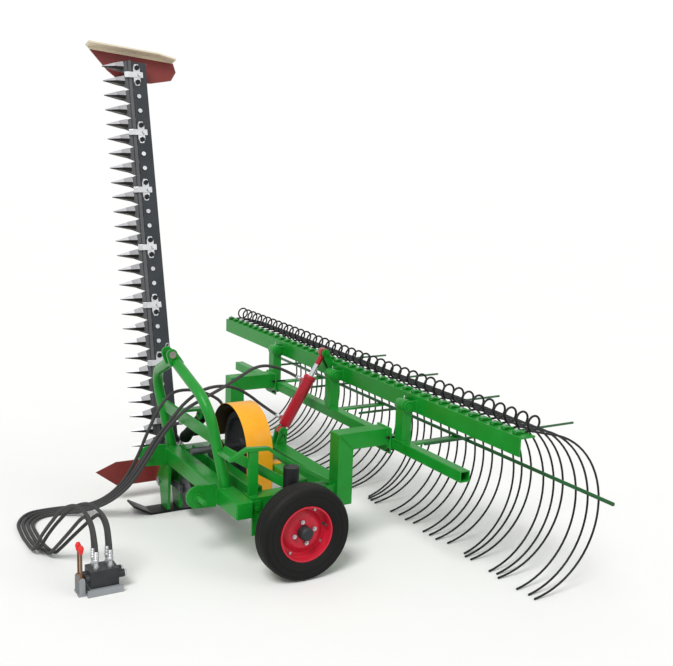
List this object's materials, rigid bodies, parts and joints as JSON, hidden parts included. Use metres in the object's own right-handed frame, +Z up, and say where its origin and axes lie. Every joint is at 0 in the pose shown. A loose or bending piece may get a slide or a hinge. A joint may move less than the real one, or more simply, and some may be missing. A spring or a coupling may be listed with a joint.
{
  "type": "sickle bar mower with rake",
  "caption": "Tractor-mounted sickle bar mower with a folding cutter bar, belt-driven knife and a hydraulic rear dump rake with spring tines on a single ground wheel.",
  "frame": {"origin": "bottom centre of the machine without its hoses, on the ground", "axes": "+X to the machine's left, +Y to its rear, +Z up"},
  "size_m": [3.176, 2.4947, 2.3654],
  "materials": {
    "painted_green": "gloss",
    "dark_green": "satin",
    "bright_steel": "zinc plated",
    "black_paint": "satin",
    "rubber_tyre": "matt",
    "red_rim": "gloss",
    "dark_hub": "matt",
    "spring_steel": "satin",
    "crimson_paint": "gloss",
    "chrome_rod": "polished",
    "cast": "matt",
    "machined": "machined",
    "belt_rubber": "matt",
    "orange_guard": "gloss",
    "maroon_paint": "satin",
    "bar_steel": "dark",
    "guard_iron": "matt",
    "valve_grey": "satin",
    "bracket_grey": "satin",
    "lever_finish": "satin",
    "hose_rubber": "matt"
  },
  "bodies": {
    "frame": {"front_beam": "painted_green", "rear_beam": "painted_green", "side_rails": "painted_green", "drive_bridges": "painted_green", "goosenecks": "painted_green", "mast_arch": "painted_green", "mast_crossbar": "painted_green", "top_link_clevis": "painted_green", "hitch_pins": "bright_steel", "lower_link_plates": "painted_green", "guard_stay": "painted_green", "wheel_post": "black_paint", "wheel_post_clamp": "painted_green", "rake_carrier": "painted_green", "rake_uprights": "painted_green", "rake_hinge_pins": "bright_steel", "stripper_arms": "painted_green", "stripper_rods": "dark_green", "cylinder_pins": "bright_steel", "pto_bearings": "cast", "crank_bearings": "cast", "drive_belts": "belt_rubber", "belt_guard": "orange_guard", "hinge_yoke": "painted_green", "hinge_pins": "bright_steel", "inner_skid": "black_paint", "valve_body": "valve_grey", "valve_bracket": "bracket_grey", "valve_fittings": "bright_steel", "rake_hose_a": "hose_rubber", "rake_hose_b": "hose_rubber", "lift_hose_a": "hose_rubber", "lift_hose_b": "hose_rubber"},
    "wheel": {"tyre": "rubber_tyre", "wheel_rim": "red_rim", "wheel_hub": "dark_hub", "wheel_nuts": "bright_steel"},
    "rake": {"rake_beam": "painted_green", "rake_tines": "spring_steel", "tine_clips": "dark_hub", "rake_lever_pin": "bright_steel"},
    "rake_cylinder": {"rake_barrel": "crimson_paint"},
    "rake_piston": {"rake_rod": "chrome_rod"},
    "input": {"pto_shaft": "machined", "drive_pulley": "cast"},
    "crank": {"crank_shaft": "machined", "driven_pulley": "cast"},
    "connecting_rod": {"pitman": "machined"},
    "cutter": {"cutter_bar": "bar_steel", "knife_guards": "guard_iron", "knife_clips": "bright_steel", "guard_bolts": "bright_steel", "inner_shoe": "maroon_paint", "outer_shoe": "maroon_paint"},
    "knife": {"knife_back": "machined", "knife_sections": "machined"},
    "lift_cylinder": {"lift_barrel": "black_paint"},
    "lift_piston": {"lift_rod": "chrome_rod"},
    "lever_left": {"valve_lever_left": "lever_finish"},
    "lever_right": {"valve_lever_right": "lever_finish"}
  },
  "joints": [
    {"name": "wheel_spin", "type": "hinge", "parent": "frame", "child": "wheel", "pos_m": [0.628, -0.291, 0.2135], "axis": [1, 0, 0], "continuous": true},
    {"name": "rake_lift", "type": "hinge", "parent": "frame", "child": "rake", "pos_m": [-0.112, 0.259, 0.705], "axis": [1, 0, 0], "range_deg": [0, 50]},
    {"name": "rake_barrel_swing", "type": "hinge", "parent": "frame", "child": "rake_cylinder", "pos_m": [-0.212, 0.019, 0.405], "axis": [1, 0, 0], "range_deg": [-1, 8]},
    {"name": "rake_rod_slide", "type": "slide", "parent": "rake_cylinder", "child": "rake_piston", "axis": [0, 0.5183, 0.8552], "range_m": [-0.066, 0.004]},
    {"name": "pto_spin", "type": "hinge", "parent": "frame", "child": "input", "pos_m": [-0.062, -0.291, 0.405], "axis": [0, 1, 0], "continuous": true},
    {"name": "crank_spin", "type": "hinge", "parent": "frame", "child": "crank", "pos_m": [-0.242, -0.291, 0.15], "axis": [0, 1, 0], "continuous": true},
    {"name": "pitman_swing", "type": "hinge", "parent": "crank", "child": "connecting_rod", "pos_m": [-0.27998, -0.5035, 0.14696], "axis": [0, 1, 0], "continuous": true},
    {"name": "cutter_lift", "type": "hinge", "parent": "frame", "child": "cutter", "pos_m": [-0.492, -0.506, 0.13], "axis": [0, -1, 0], "range_deg": [0, 77]},
    {"name": "knife_stroke", "type": "slide", "parent": "cutter", "child": "knife", "axis": [-0.2267, 0, 0.974], "range_m": [-0.0762, 0]},
    {"name": "lift_barrel_swing", "type": "hinge", "parent": "frame", "child": "lift_cylinder", "pos_m": [-0.142, -0.438, 0.56], "axis": [0, -1, 0], "range_deg": [-3, 3]},
    {"name": "lift_rod_slide", "type": "slide", "parent": "lift_cylinder", "child": "lift_piston", "axis": [-0.8075, 0, -0.5899], "range_m": [-0.004, 0.22]},
    {"name": "valve_lever_left", "type": "hinge", "parent": "frame", "child": "lever_left", "pos_m": [0.39, -1.193, 0.068], "axis": [1, 0, 0], "range_deg": [-10, 10], "stiffness_Nm_per_rad": 3},
    {"name": "valve_lever_right", "type": "hinge", "parent": "frame", "child": "lever_right", "pos_m": [0.346, -1.193, 0.068], "axis": [1, 0, 0], "range_deg": [-10, 10], "stiffness_Nm_per_rad": 3}
  ],
  "couplings": [
    {"joint": "rake_barrel_swing", "follows": "rake_lift", "ratio": 0.14},
    {"joint": "rake_rod_slide", "follows": "rake_lift", "m_per_rad": -0.07063},
    {"joint": "crank_spin", "follows": "pto_spin", "ratio": 2.6154},
    {"joint": "pitman_swing", "follows": "pto_spin", "ratio": -2.6154},
    {"joint": "lift_barrel_swing", "follows": "cutter_lift", "ratio": -0.015},
    {"joint": "lift_rod_slide", "follows": "cutter_lift", "m_per_rad": 0.16218}
  ]
}
